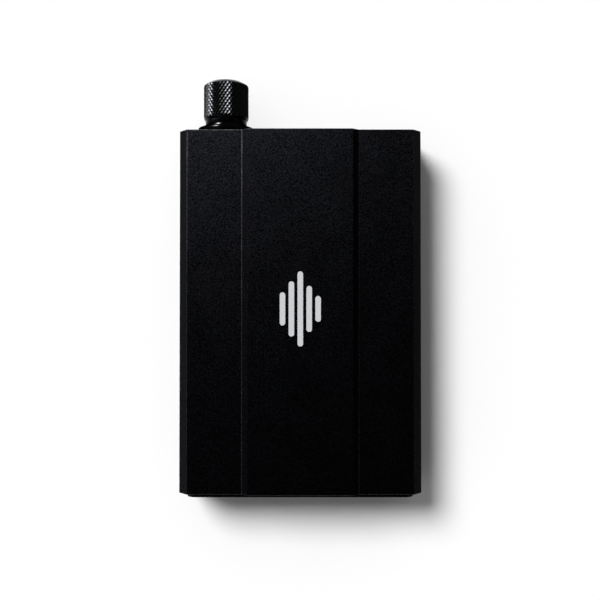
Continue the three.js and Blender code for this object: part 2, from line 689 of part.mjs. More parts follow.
buildCase();
buildTopPlate();
buildBottomPlate();
buildEndScrews();
buildCollar();
buildKnob();
buildSetScrew();
buildEncoder();
buildJack('headphone_jack', SMALL_JACK);
buildJack('balanced_jack', LARGE_JACK);
buildPowerButton();
buildLightPipe();
buildUsbSocket();
buildCardSocket();
buildDisplay();
buildDisplayRibbon();
buildKeys();
buildMainBoard();
buildMainBoardParts();
buildAudioBoard();
buildBattery();

export default group;
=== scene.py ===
import json
import math

import bmesh
import bpy
from mathutils import Matrix, Vector

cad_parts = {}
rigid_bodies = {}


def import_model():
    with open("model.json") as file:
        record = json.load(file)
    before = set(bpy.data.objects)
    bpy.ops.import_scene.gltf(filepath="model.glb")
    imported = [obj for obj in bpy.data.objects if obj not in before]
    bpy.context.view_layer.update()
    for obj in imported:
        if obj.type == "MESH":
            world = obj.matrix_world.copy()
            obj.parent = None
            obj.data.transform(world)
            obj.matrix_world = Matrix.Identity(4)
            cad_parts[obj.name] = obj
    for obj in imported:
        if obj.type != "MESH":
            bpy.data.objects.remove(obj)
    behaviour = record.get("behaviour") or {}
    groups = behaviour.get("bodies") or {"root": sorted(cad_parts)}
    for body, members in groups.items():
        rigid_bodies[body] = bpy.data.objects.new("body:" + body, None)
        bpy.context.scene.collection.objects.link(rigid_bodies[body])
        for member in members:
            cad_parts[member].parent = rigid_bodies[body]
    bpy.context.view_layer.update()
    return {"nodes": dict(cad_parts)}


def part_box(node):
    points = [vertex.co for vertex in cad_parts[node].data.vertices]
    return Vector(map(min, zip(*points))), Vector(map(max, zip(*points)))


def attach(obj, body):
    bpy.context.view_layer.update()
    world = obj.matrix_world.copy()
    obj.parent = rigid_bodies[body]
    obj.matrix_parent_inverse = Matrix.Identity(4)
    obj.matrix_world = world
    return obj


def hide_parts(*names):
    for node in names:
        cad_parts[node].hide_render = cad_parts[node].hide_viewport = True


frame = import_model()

MM = 0.001
NODES = frame["nodes"]


def box_mm(node):
    """Lowest and highest corners of a CAD node, in millimetres."""
    low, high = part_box(node)
    return low / MM, high / MM


def middle_mm(node):
    low, high = box_mm(node)
    return (low + high) / 2


KNOB_X = middle_mm("knob_collar").x
MID_Z = middle_mm("knob_collar").z
HALF_LENGTH = box_mm("case_tube")[1].y
TOP_FACE = box_mm("top_end_plate")[1].y
BOTTOM_FACE = box_mm("bottom_end_plate")[0].y

# ---- camera: straight above the rear face ----
CAMERA_DISTANCE = 228.0              # from the side zones of the rear face, along the view
CAMERA_TARGET = Vector((-0.08, 3.14, 18.6))
CAMERA_TILT = math.radians(0.87)     # a slight tilt that brings the bottom end nearer

camera_data = bpy.data.cameras.new("camera")
camera_data.lens = 50
camera_data.sensor_width = 36
camera_data.clip_start = 0.01
camera_data.clip_end = 20
camera = bpy.data.objects.new("camera", camera_data)
camera_back = Vector((0.0, -math.sin(CAMERA_TILT), math.cos(CAMERA_TILT)))
camera.location = (CAMERA_TARGET + camera_back * CAMERA_DISTANCE) * MM
camera.rotation_euler = (CAMERA_TILT, 0, 0)
bpy.context.collection.objects.link(camera)
bpy.context.scene.camera = camera
bpy.context.scene.view_settings.view_transform = "Standard"
bpy.context.scene.view_settings.look = "None"


# ---- node helpers ----
class Graph:
    """Small wrapper that adds nodes to a material or world and links their sockets."""

    def __init__(self, owner):
        owner.use_nodes = True
        self.tree = owner.node_tree
        self.tree.nodes.clear()

    def add(self, kind, inputs=None, **settings):
        made = self.tree.nodes.new(kind)
        for key, value in settings.items():
            setattr(made, key, value)
        for key, value in (inputs or {}).items():
            socket = made.inputs[key]
            if isinstance(value, bpy.types.NodeSocket):
                self.tree.links.new(value, socket)
            else:
                socket.default_value = value
        return made

    def place(self):
        return self.add("ShaderNodeTexCoord").outputs["Object"]

    def noise(self, where, size_mm, detail=2.0, rough=0.5, stretch=None):
        if stretch:
            where = self.add("ShaderNodeMapping", {"Vector": where, "Scale": stretch}).outputs[0]
        return self.add("ShaderNodeTexNoise", {
            "Vector": where, "Scale": 1000.0 / size_mm, "Detail": detail, "Roughness": rough,
        }).outputs["Fac"]

    def span(self, value, low, high, from_low=0.0, from_high=1.0):
        return self.add("ShaderNodeMapRange", {
            "Value": value, "From Min": from_low, "From Max": from_high,
            "To Min": low, "To Max": high,
        }).outputs["Result"]

    def mix(self, factor, first, second):
        made = self.add("ShaderNodeMix", data_type="RGBA")
        for socket, value in ((made.inputs[0], factor), (made.inputs[6], first), (made.inputs[7], second)):
            if isinstance(value, bpy.types.NodeSocket):
                self.tree.links.new(value, socket)
            else:
                socket.default_value = value if isinstance(value, float) else (*value, 1.0)
        return made.outputs[2]

    def math(self, operation, first, second=0.0):
        return self.add("ShaderNodeMath", {0: first, 1: second}, operation=operation).outputs[0]

    def bump(self, height, depth_mm):
        return self.add("ShaderNodeBump", {"Height": height, "Distance": depth_mm * MM}).outputs["Normal"]

    def surface(self, **inputs):
        named = {key.replace("_", " "): value for key, value in inputs.items()}
        for key in ("Base Color", "Specular Tint"):
            if key in named and not isinstance(named[key], bpy.types.NodeSocket):
                named[key] = (*named[key], 1.0)
        shader = self.add("ShaderNodeBsdfPrincipled", named)
        self.add("ShaderNodeOutputMaterial", {"Surface": shader.outputs[0]})


def new_material(name):
    made = bpy.data.materials.new(name)
    return made, Graph(made)


# ---- materials ----
def tones(tint, low, high):
    return tuple(c * low for c in tint), tuple(c * high for c in tint)


def grey(level):
    return (level, level, level)


def blasted_anodised(name, tint, roughness, grain_mm, depth_mm, edge=grey(0.3)):
    """Anodised aluminium with a bead-blasted grain: the pits tilt the surface and some catch more light.
    A dark edge tint holds down the reflections at low angles."""
    made, g = new_material(name)
    where = g.add("ShaderNodeMapping", {"Vector": g.place(), "Rotation": (0.41, 0.33, 0.27)}).outputs[0]
    grain = g.noise(where, grain_mm, 2.0, 0.55)
    pits = g.add("ShaderNodeTexVoronoi", {"Vector": where, "Scale": 1000.0 / (grain_mm * 0.8)})
    relief = g.math("ADD", grain, g.math("MULTIPLY", pits.outputs["Distance"], 0.35))
    cloud = g.noise(where, 9.0, 2.0)
    dark, light = tones(tint, 0.15, 2.4)
    g.surface(
        Base_Color=g.mix(g.span(grain, 0.0, 1.0, 0.36, 0.66), dark, light),
        Metallic=1.0,
        Specular_Tint=edge,
        Roughness=g.math("ADD", g.span(cloud, roughness - 0.015, roughness + 0.015, 0.35, 0.65),
                         g.span(grain, -0.03, 0.03, 0.3, 0.7)),
        Normal=g.bump(relief, depth_mm),
    )
    return made


def turned_metal(name, tint, roughness, groove_mm, depth_mm, edge):
    """Metal turned on a lathe: fine rings round the knob's axis, with slight smudges."""
    made, g = new_material(name)
    where = g.place()
    to_axis = (-KNOB_X * MM, 0.0, -MID_Z * MM)
    moved = g.add("ShaderNodeVectorMath", {0: where, 1: to_axis}, operation="ADD")
    split = g.add("ShaderNodeSeparateXYZ", {0: moved.outputs[0]})
    squares = [g.math("POWER", split.outputs[axis], 2.0) for axis in "XZ"]
    along = g.math("ADD", g.math("SQRT", g.math("ADD", *squares)), split.outputs["Y"])
    rings = g.noise(g.add("ShaderNodeCombineXYZ", {"X": along}).outputs[0], groove_mm, 2.0, 0.6)
    smudge = g.noise(where, 1.3, 3.0)
    dark, light = tones(tint, 0.82, 1.18)
    g.surface(
        Base_Color=g.mix(g.span(rings, 0.0, 1.0, 0.3, 0.7), dark, light),
        Metallic=1.0,
        Specular_Tint=edge,
        Roughness=g.math("ADD", g.span(smudge, roughness - 0.03, roughness + 0.03, 0.3, 0.7),
                         g.span(rings, -0.02, 0.02, 0.3, 0.7)),
        Normal=g.bump(rings, depth_mm),
    )
    return made


def plain_metal(name, tint, roughness, lines=(1.0, 12.0, 12.0), depth_mm=0.002):
    """Rolled or drawn sheet metal: fine lines along one direction under a cloud of duller patches."""
    made, g = new_material(name)
    where = g.place()
    drawn = g.noise(where, 1.2, 2.0, 0.6, lines)
    cloud = g.noise(where, 2.5, 3.0)
    dark, light = tones(tint, 0.85, 1.1)
    g.surface(
        Base_Color=g.mix(g.span(cloud, 0.0, 1.0, 0.3, 0.7), dark, light),
        Metallic=1.0,
        Roughness=g.math("ADD", g.span(cloud, roughness - 0.06, roughness + 0.06, 0.3, 0.7),
                         g.span(drawn, -0.04, 0.04, 0.3, 0.7)),
        Normal=g.bump(drawn, depth_mm),
    )
    return made


def moulded_plastic(name, tint, roughness=0.5, grain_mm=0.18, depth_mm=0.004):
    made, g = new_material(name)
    where = g.place()
    grain = g.noise(where, grain_mm, 2.0)
    cloud = g.noise(where, 3.0, 2.0)
    dark, light = tones(tint, 0.86, 1.12)
    g.surface(
        Base_Color=g.mix(cloud, dark, light),
        Roughness=g.span(grain, roughness - 0.07, roughness + 0.07, 0.3, 0.7),
        Normal=g.bump(grain, depth_mm),
    )
    return made


def ink(name, tint):
    """Screen-printed ink: slightly uneven cover and a fine matt tooth."""
    made, g = new_material(name)
    where = g.place()
    tooth = g.noise(where, 0.3, 3.0, 0.65)
    dark, light = tones(tint, 0.93, 1.03)
    g.surface(
        Base_Color=g.mix(g.span(tooth, 0.0, 1.0, 0.3, 0.7), dark, light),
        Roughness=0.62,
        Specular_IOR_Level=0.2,
        Normal=g.bump(tooth, 0.004),
    )
    return made


def circuit_board(name, mask, copper):
    """Solder mask over etched tracks: the tracks show as paler raised lines, with tinned dots between."""
    made, g = new_material(name)
    where = g.place()
    lanes = g.add("ShaderNodeTexBrick", {
        "Vector": where, "Scale": 1000.0, "Mortar Size": 0.09, "Mortar Smooth": 0.1, "Bias": 0.0,
        "Brick Width": 3.4, "Row Height": 0.8, "Color1": (0, 0, 0, 1), "Color2": (0, 0, 0, 1),
        "Mortar": (1, 1, 1, 1),
    }).outputs["Color"]
    dots = g.add("ShaderNodeTexVoronoi", {"Vector": where, "Scale": 560.0}).outputs["Distance"]
    via = g.span(dots, 1.0, 0.0, 0.14, 0.17)
    cloud = g.noise(where, 6.0, 2.0)
    dark, light = tones(mask, 0.85, 1.15)
    track = g.mix(lanes, g.mix(cloud, dark, light), copper)
    g.surface(
        Base_Color=g.mix(via, track, (0.55, 0.52, 0.45)),
        Metallic=via,
        Roughness=g.span(cloud, 0.28, 0.4, 0.3, 0.7),
        Normal=g.bump(g.math("ADD", lanes, via), 0.02),
    )
    return made


def clear_glass(name):
    made, g = new_material(name)
    film = g.noise(g.place(), 14.0, 3.0)
    g.surface(
        Base_Color=(0.9, 0.93, 0.95), Transmission_Weight=1.0, IOR=1.51,
        Roughness=g.span(film, 0.01, 0.05, 0.4, 0.7),
    )
    return made


def screen_face(name):
    """Unlit display: near-black cells with a fine grid, under a slightly mottled filter."""
    made, g = new_material(name)
    where = g.place()
    cells = g.add("ShaderNodeTexBrick", {
        "Vector": where, "Scale": 1000.0, "Mortar Size": 0.012, "Mortar Smooth": 0.2, "Bias": 0.0,
        "Brick Width": 0.11, "Row Height": 0.11, "Color1": (0, 0, 0, 1), "Color2": (0, 0, 0, 1),
        "Mortar": (1, 1, 1, 1),
    }, offset=0.0).outputs["Color"]
    cloud = g.noise(where, 20.0, 2.0)
    dark, light = tones((0.010, 0.011, 0.014), 0.8, 1.3)
    g.surface(
        Base_Color=g.mix(cells, g.mix(cloud, dark, light), (0.004, 0.004, 0.005)),
        Roughness=g.span(cloud, 0.14, 0.22, 0.3, 0.7),
        Normal=g.bump(cells, 0.004),
    )
    return made


def foil_pouch(name):
    """Aluminium-laminate battery pouch: soft crumples and a satin sheen."""
    made, g = new_material(name)
    where = g.place()
    folds = g.noise(where, 7.0, 4.0, 0.55)
    fine = g.noise(where, 0.7, 2.0)
    dark, light = tones((0.52, 0.55, 0.60), 0.88, 1.05)
    g.surface(
        Base_Color=g.mix(folds, dark, light), Metallic=0.9,
        Roughness=g.span(fine, 0.3, 0.42, 0.3, 0.7),
        Normal=g.bump(g.math("ADD", folds, g.math("MULTIPLY", fine, 0.1)), 0.25),
    )
    return made


BLACK_CASE = blasted_anodised("case_anodised", (0.0058, 0.0061, 0.0075), 0.32, 0.34, 0.018, grey(0.65))
CASE_EDGE = blasted_anodised("case_edge_anodised", (0.04, 0.04, 0.042), 0.26, 0.2, 0.004)
BLACK_PLATE = blasted_anodised("plate_anodised", (0.014, 0.0142, 0.0155), 0.3, 0.3, 0.008)
KNOB_METAL = turned_metal("knob_anodised", (0.0125, 0.013, 0.014), 0.16, 0.12, 0.0006, grey(0.7))
COLLAR_METAL = turned_metal("collar_anodised", (0.009, 0.009, 0.0095), 0.12, 0.1, 0.0003, grey(0.25))
KEY_METAL = blasted_anodised("key_anodised", (0.03, 0.03, 0.032), 0.3, 0.2, 0.004)
RING_METAL = plain_metal("ring_black_nickel", (0.10, 0.10, 0.105), 0.2, (8.0, 1.0, 8.0), 0.001)
PALE_INK = ink("pale_ink", (0.485, 0.49, 0.505))
SCREW_STEEL = plain_metal("screw_black_oxide", (0.035, 0.034, 0.036), 0.28, (8.0, 1.0, 8.0))
ZINC = plain_metal("encoder_zinc", (0.55, 0.56, 0.58), 0.34)
TINNED = plain_metal("tinned_steel", (0.66, 0.66, 0.67), 0.25)
GILT = plain_metal("gilt_brass", (0.83, 0.60, 0.28), 0.2, (8.0, 1.0, 8.0))
BLACK_PLASTIC = moulded_plastic("black_plastic", (0.012, 0.012, 0.013), 0.45)
PIPE_PLASTIC = moulded_plastic("light_pipe_plastic", (0.75, 0.76, 0.78), 0.22, 0.25, 0.001)
PALE_PLASTIC = moulded_plastic("pale_plastic", (0.62, 0.60, 0.55), 0.42)
CHIP_EPOXY = moulded_plastic("chip_epoxy", (0.018, 0.018, 0.019), 0.55, 0.1, 0.006)
RUBBER = moulded_plastic("gasket_rubber", (0.014, 0.014, 0.014), 0.75, 0.3, 0.01)
MASK_PRINT = moulded_plastic("glass_border_print", (0.004, 0.004, 0.0045), 0.3, 0.2, 0.0005)
RIBBON_FILM = plain_metal("ribbon_copper_tracks", (0.42, 0.20, 0.06), 0.35, (1.0, 14.0, 14.0), 0.004)
GREEN_BOARD = circuit_board("main_board_mask", (0.008, 0.05, 0.022), (0.03, 0.13, 0.05))
BLUE_BOARD = circuit_board("audio_board_mask", (0.006, 0.014, 0.045), (0.03, 0.06, 0.14))
COVER_GLASS = clear_glass("cover_glass")
SCREEN = screen_face("display_cells")
FOIL = foil_pouch("battery_foil")


# ---- mesh helpers ----
def to_mesh(mesh_bm, name):
    bmesh.ops.recalc_face_normals(mesh_bm, faces=mesh_bm.faces)
    mesh = bpy.data.meshes.new(name)
    mesh_bm.to_mesh(mesh)
    mesh_bm.free()
    return mesh


def finish_piece(shape, name, material, body, nodes=(), smooth_deg=32):
    """Object from a mesh or bmesh: sharp where faces meet at more than smooth_deg, rounded elsewhere."""
    mesh = to_mesh(shape, name) if isinstance(shape, bmesh.types.BMesh) else shape
    mesh.materials.clear()
    mesh.materials.append(material)
    mesh.shade_smooth()
    mesh.set_sharp_from_angle(angle=math.radians(smooth_deg))
    piece = bpy.data.objects.new(name, mesh)
    bpy.context.collection.objects.link(piece)
    normals = piece.modifiers.new("normals", "WEIGHTED_NORMAL")
    normals.keep_sharp = True
    normals.weight = 100
    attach(piece, body)
    if nodes:
        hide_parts(*nodes)


def filleted(points, steps=4):
    """Closed outline from [x, y, radius] corners, each rounded by its radius."""
    outline = []
    count = len(points)
    for i in range(count):
        here = Vector(points[i][:2])
        before = (Vector(points[i - 1][:2]) - here).normalized()
        after = (Vector(points[(i + 1) % count][:2]) - here).normalized()
        radius = points[i][2]
        half = before.angle(after) / 2
        centre = here + (before + after).normalized() * (radius / math.sin(half))
        start = here + before * (radius / math.tan(half)) - centre
        end = here + after * (radius / math.tan(half)) - centre
        turn = start.angle_signed(end)
        for k in range(steps + 1):
            outline.append(centre + Matrix.Rotation(-turn * k / steps, 2) @ start)
    return outline


def rounded_rect(half_width, low, high, radius, steps=5, centre=0.0):
    return filleted([
        [centre - half_width, low, radius],
        [centre + half_width, low, radius],
        [centre + half_width, high, radius],
        [centre - half_width, high, radius],
    ], steps)


def inset(outline, amount):
    """Outline moved inwards by amount; a counter-clockwise outline has its inside on the left."""
    moved = []
    count = len(outline)
    for i in range(count):
        along_in = (outline[i] - outline[i - 1]).normalized()
        along_out = (outline[(i + 1) % count] - outline[i]).normalized()
        normal_in = Vector((-along_in.y, along_in.x))
        normal_out = Vector((-along_out.y, along_out.x))
        middle = (normal_in + normal_out).normalized()
        moved.append(outline[i] + middle * (amount / max(0.5, middle.dot(normal_out))))
    return moved


def loft(rings):
    """bmesh through rings of millimetre points, capped with one face at each end."""
    made = bmesh.new()
    rows = [[made.verts.new(Vector(p) * MM) for p in ring] for ring in rings]
    count = len(rows[0])
    for lower, upper in zip(rows, rows[1:]):
        for i in range(count):
            j = (i + 1) % count
            made.faces.new((lower[i], lower[j], upper[j], upper[i]))
    made.faces.new(rows[0][::-1])
    made.faces.new(rows[-1])
    return made


def rounded_steps(radius, steps=3):
    """(inset, distance from the end) pairs that round an edge by radius, from the end inwards."""
    angles = [math.pi / 2 * k / steps for k in range(steps + 1)]
    return [(radius * (1 - math.sin(a)), radius * (1 - math.cos(a))) for a in angles]


def end_steps(low, high, round_low, round_high):
    """(inset, level) pairs of a prism; each end edge is rounded, or flared if its radius is negative."""
    made = []
    for radius, end, way in ((round_low, low, 1), (round_high, high, -1)):
        side = -1 if radius < 0 else 1
        steps = rounded_steps(abs(radius)) if radius else [(0, 0)]
        made += [(side * amount, end + way * along) for amount, along in steps[::way]]
    return made


def prism_y(outline, y0, y1, round0=0.0, round1=0.0, x=0.0):
    """Outline in X and Z pushed along Y."""
    steps = end_steps(y0, y1, round0, round1)
    return loft([[(p.x + x, y, p.y) for p in inset(outline, amount)] for amount, y in steps])


def stacked(outline, steps, x=0.0, y=0.0):
    """Outline in X and Y that is inset by the amount given with each level: (amount, z) pairs."""
    return loft([[(p.x + x, p.y + y, z) for p in inset(outline, amount)] for amount, z in steps])


def prism_z(outline, z0, z1, round0=0.0, round1=0.0, x=0.0, y=0.0):
    """Outline in X and Y pushed along Z."""
    return stacked(outline, end_steps(z0, z1, round0, round1), x, y)


def circle(radius, facets, x=0.0, y=0.0):
    angles = [2 * math.pi * k / facets for k in range(facets)]
    return [Vector((x + radius * math.cos(a), y + radius * math.sin(a))) for a in angles]


def turned(profile, x, z, facets=96):
    """Solid turned about an axis parallel to Y: [radius, y] points from one flat end to the other."""
    return loft([[(p.x, y, p.y) for p in circle(radius, facets, x, z)] for radius, y in profile])


def turned_up(profile, x, y, facets):
    """Solid turned about an axis parallel to Z: [radius, z] points from one flat end to the other."""
    return loft([[(p.x, p.y, z) for p in circle(radius, facets, x, y)] for radius, z in profile])


def turned_ring(profile, x, z, facets=96):
    """Ring turned about an axis parallel to Y from the corners [radius, y] of its section."""
    made = bmesh.new()
    columns = []
    for k in range(facets):
        angle = 2 * math.pi * k / facets
        column = [Vector((x + r * math.cos(angle), y, z + r * math.sin(angle))) for r, y in profile]
        columns.append([made.verts.new(point * MM) for point in column])
    for k in range(facets):
        one, two = columns[k], columns[(k + 1) % facets]
        for i in range(len(profile)):
            j = (i + 1) % len(profile)
            made.faces.new((one[i], one[j], two[j], two[i]))
    return made


def merged(solids):
    """One bmesh that holds every solid."""
    made = bmesh.new()
    for solid in solids:
        part = to_mesh(solid, "part")
        made.from_mesh(part)
        bpy.data.meshes.remove(part)
    return made


def scratch_object(mesh_bm):
    made = bpy.data.objects.new("scratch", to_mesh(mesh_bm, "scratch"))
    bpy.context.collection.objects.link(made)
    return made


def cut_mesh(mesh_bm, cutters, limit=None):
    """Mesh of the solid, or of its part inside limit, with each cutter taken from it."""
    solid = scratch_object(mesh_bm)
    steps = [("INTERSECT", limit)] if limit else []
    steps += [("DIFFERENCE", cutter) for cutter in cutters]
    tools = []
    for operation, tool in steps:
        tools.append(scratch_object(tool))
        cut = solid.modifiers.new("cut", "BOOLEAN")
        cut.operation = operation
        cut.solver = "EXACT"
        cut.object = tools[-1]
    bpy.context.view_layer.update()
    evaluated = solid.evaluated_get(bpy.context.evaluated_depsgraph_get())
    mesh = bpy.data.meshes.new_from_object(evaluated)
    for made in [solid, *tools]:
        bpy.data.objects.remove(made, do_unlink=True)
    return mesh


# ---- case tube ----
PANEL_TOP = box_mm("case_tube")[1].z - 0.02
KEY_NAMES = ["back_key", "previous_key", "play_key", "next_key"]
KEY_HALF_WIDTH = 4.8
KEY_HALF_DEPTH = 3.2
KEY_GAP = 0.2                        # between a key and the edge of its hole


def case_outline():
    """Section of the case in X and Z: chamfered long edges and the raised panel with sloping sides."""
    right = [
        [31.2, 0.002, 0.5],
        [33.398, 2.2, 0.5],
        [33.398, 16.0, 0.45],
        [31.1, 18.6, 0.3],
        [16.05, 18.6, 0.35],
        [14.4, PANEL_TOP, 0.22],
    ]
    left = [[-x, z, r] for x, z, r in reversed(right)]
    return filleted(right + left)


def cavity_outline():
    """Hollow of the case, with a slot along each side wall that holds the main board."""
    right = [
        [26.6, 2.0], [26.6, 5.2], [30.4, 5.2], [30.4, 5.3], [31.2, 5.3],
        [31.2, 6.7], [30.4, 6.7], [30.4, 13.4], [26.6, 13.4], [26.6, 16.6],
    ]
    left = [[-x, z] for x, z in reversed(right)]
    return [Vector(p) for p in right + left]


def pill(half_width, half_depth, steps=8):
    """Outline with round ends, about the origin."""
    return rounded_rect(half_width, -half_depth, half_depth, half_depth - 0.01, steps)


# The way each flat face of the case points: sides, ends, top and bottom, chamfers, panel slopes.
FLAT_DIRECTIONS = [Vector(d).normalized() for d in (
    (1, 0, 0), (-1, 0, 0), (0, 1, 0), (0, -1, 0), (0, 0, 1), (0, 0, -1),
    (2.6, 0, 2.3), (-2.6, 0, 2.3), (1.4, 0, 1.65), (-1.4, 0, 1.65), (1, 0, -1), (-1, 0, -1),
)]


def mark_edges(mesh, material):
    """Gives the narrow rounded faces their own, slightly brighter finish, save the panel's upper edges."""
    flat_enough = 0.9992
    mesh.materials.append(material)
    for face in mesh.polygons:
        on_panel = face.center.z > (PANEL_TOP - 0.58) * MM and abs(face.center.y) < (HALF_LENGTH - 0.3) * MM
        if max(face.normal.dot(d) for d in FLAT_DIRECTIONS) < flat_enough and not on_panel:
            face.material_index = 1


def build_case():
    """Sleeve with its hollow, a mouth for each end plate, the pocket of the glass and the key holes."""
    outer = prism_y(case_outline(), -HALF_LENGTH, HALF_LENGTH, 0.2, 0.2)
    mouth = rounded_rect(31.3, 1.3, 17.3, 2.5, 8)
    cutters = [
        prism_y(cavity_outline(), -HALF_LENGTH + 1, HALF_LENGTH - 1),
        prism_y(mouth, HALF_LENGTH - 2.4, HALF_LENGTH, 0, -0.15),
        prism_y(mouth, -HALF_LENGTH, -HALF_LENGTH + 2.4, -0.15, 0),
    ]
    glass_low, glass_high = box_mm("display_glass")
    pocket = rounded_rect(glass_high.x + 0.1, glass_low.y - 0.1, glass_high.y + 0.1, 2.5, 6)
    cutters.append(prism_z(pocket, 0.0, 1.2, -0.2, 0))
    cutters.append(prism_z(rounded_rect(26.5, 5.5, 42.5, 1.2), 1.0, 5.0))
    key_hole = pill(KEY_HALF_WIDTH + KEY_GAP, KEY_HALF_DEPTH + KEY_GAP)
    for name in KEY_NAMES:
        centre = middle_mm(name)
        cutters.append(prism_z(key_hole, 0.0, 2.5, -0.2, 0, centre.x, centre.y))
    mesh = cut_mesh(outer, cutters)
    finish_piece(mesh, "case_shell", BLACK_CASE, "player", ["case_tube"])
    mark_edges(mesh, CASE_EDGE)


build_case()


# ---- volume knob ----
KNURL_ROUND = 38                     # diamonds round the knob
KNURL_PITCH = 1.5                    # along the axis; the diamonds stand taller than they are wide
KNURL_DEPTH = 0.22
KNURL_FLAT = 0.08                    # flat top of a diamond, as a share of its half width
KNURL_LOW = 55.0
KNURL_HIGH = 64.15


def knob_point(angle, radius, y):
    return Vector((KNOB_X + radius * math.cos(angle), y, MID_Z + radius * math.sin(angle))) * MM


def build_knob():
    """Diamond-knurled sleeve: flat-topped pyramids on a staggered grid, cut off square at both ends,
    then carried on through the rims, the dished top, the neck and the bore."""
    low, high = box_mm("volume_knob")
    outer = high.x - KNOB_X
    valley = outer - KNURL_DEPTH
    half_turns = 2 * KNURL_ROUND
    rows = math.ceil((KNURL_HIGH - KNURL_LOW) / KNURL_PITCH) * 2 + 4
    made = bmesh.new()
    corners = ((1, 0), (0, 1), (-1, 0), (0, -1))
    grid = {}

    def valley_vertex(i, j):
        key = (i % half_turns, j)
        if key not in grid:
            angle = 2 * math.pi * key[0] / half_turns
            grid[key] = made.verts.new(knob_point(angle, valley, KNURL_LOW + (j - 1.5) * KNURL_PITCH / 2))
        return grid[key]

    for j in range(1, rows):
        for i in range(half_turns):
            if (i + j) % 2:
                continue
            around = [valley_vertex(i + di, j + dj) for di, dj in corners]
            top = []
            for di, dj in corners:
                angle = 2 * math.pi * (i + di * KNURL_FLAT) / half_turns
                y = KNURL_LOW + (j + dj * KNURL_FLAT - 1.5) * KNURL_PITCH / 2
                top.append(made.verts.new(knob_point(angle, outer, y)))
            made.faces.new(top)
            for k in range(4):
                n = (k + 1) % 4
                made.faces.new((top[k], around[k], around[n], top[n]))
    for y, direction in ((KNURL_LOW, -1), (KNURL_HIGH, 1)):
        geometry = made.verts[:] + made.edges[:] + made.faces[:]
        bmesh.ops.bisect_plane(
            made, geom=geometry, dist=1e-8, clear_outer=True,
            plane_co=(0, y * MM, 0), plane_no=(0, direction, 0),
        )

    def carry_on(y, profile):
        """Extends the open edge at y through the [radius, y] points, and closes it."""
        edges = [e for e in made.edges if e.is_boundary and all(abs(v.co.y - y * MM) < 1e-7 for v in e.verts)]
        for radius, height in profile:
            extruded = bmesh.ops.extrude_edge_only(made, edges=edges)["geom"]
            for vertex in (v for v in extruded if isinstance(v, bmesh.types.BMVert)):
                angle = math.atan2(vertex.co.z / MM - MID_Z, vertex.co.x / MM - KNOB_X)
                vertex.co = knob_point(angle, radius, height)
            edges = [e for e in extruded if isinstance(e, bmesh.types.BMEdge)]
        bmesh.ops.contextual_create(made, geom=edges)

    top = high.y
    neck = low.y
    carry_on(KNURL_HIGH, [
        (valley - 0.01, KNURL_HIGH), (valley - 0.02, KNURL_HIGH + 0.05), (outer - 0.2, KNURL_HIGH + 0.06),
        (outer - 0.26, KNURL_HIGH + 0.12), (5.0, top - 0.12), (4.85, top - 0.03), (4.7, top), (4.25, top),
        (4.12, top - 0.05), (3.82, top - 0.42), (3.65, top - 0.5), (1.5, top - 0.5),
    ])
    carry_on(KNURL_LOW, [
        (valley - 0.01, KNURL_LOW), (valley - 0.01, KNURL_LOW - 0.04), (outer - 0.05, KNURL_LOW - 0.05),
        (outer - 0.07, KNURL_LOW - 0.2), (outer - 0.17, KNURL_LOW - 0.45), (outer - 0.33, KNURL_LOW - 0.67),
        (5.94, 54.2), (5.9, 54.1), (5.89, 53.95), (5.89, neck + 0.1), (5.86, neck + 0.03), (5.79, neck),
        (3.12, neck), (3.05, neck + 0.07), (3.05, 62.2), (1.5, 62.2),
    ])
    finish_piece(made, "volume_knob_turned", KNOB_METAL, "knob", ["volume_knob"], 25)


build_knob()


# ---- collar ----
def build_collar():
    base = TOP_FACE
    profile = [
        (6.1, base), (8.09, base), (8.15, base + 0.06), (8.15, 51.28), (8.13, 51.34), (7.98, 51.78),
        (7.93, 51.86), (7.84, 51.92), (6.4, 52.27), (6.22, 52.33), (6.17, 52.38), (6.12, 52.6), (6.08, 52.67),
        (6.0, 52.72), (3.85, 52.72), (3.75, 52.62), (3.75, 52.15), (6.1, 52.15),
    ]
    collar = turned_ring(profile, KNOB_X, MID_Z)
    finish_piece(collar, "knob_collar_turned", COLLAR_METAL, "player", ["knob_collar"], 25)


build_collar()


# ---- end plates ----
def round_cutter(radius, y0, y1, x, z, flare0=0.0, flare1=0.0, facets=40):
    return prism_y(circle(radius, facets, x, z), y0, y1, flare0, flare1)


SCREW_SPOTS = [(sx * 29.0, MID_Z + dz) for sx in (-1, 1) for dz in (-5.9, 5.9)]
HEAD_HOLE = 1.62                     # radius of the sunk hole round a screw head
HEAD_HOLE_DEPTH = 1.1
SHANK_HOLE = 0.85
PLATE_OUTLINE = rounded_rect(31.2, 1.4, 17.2, 2.4, 8)


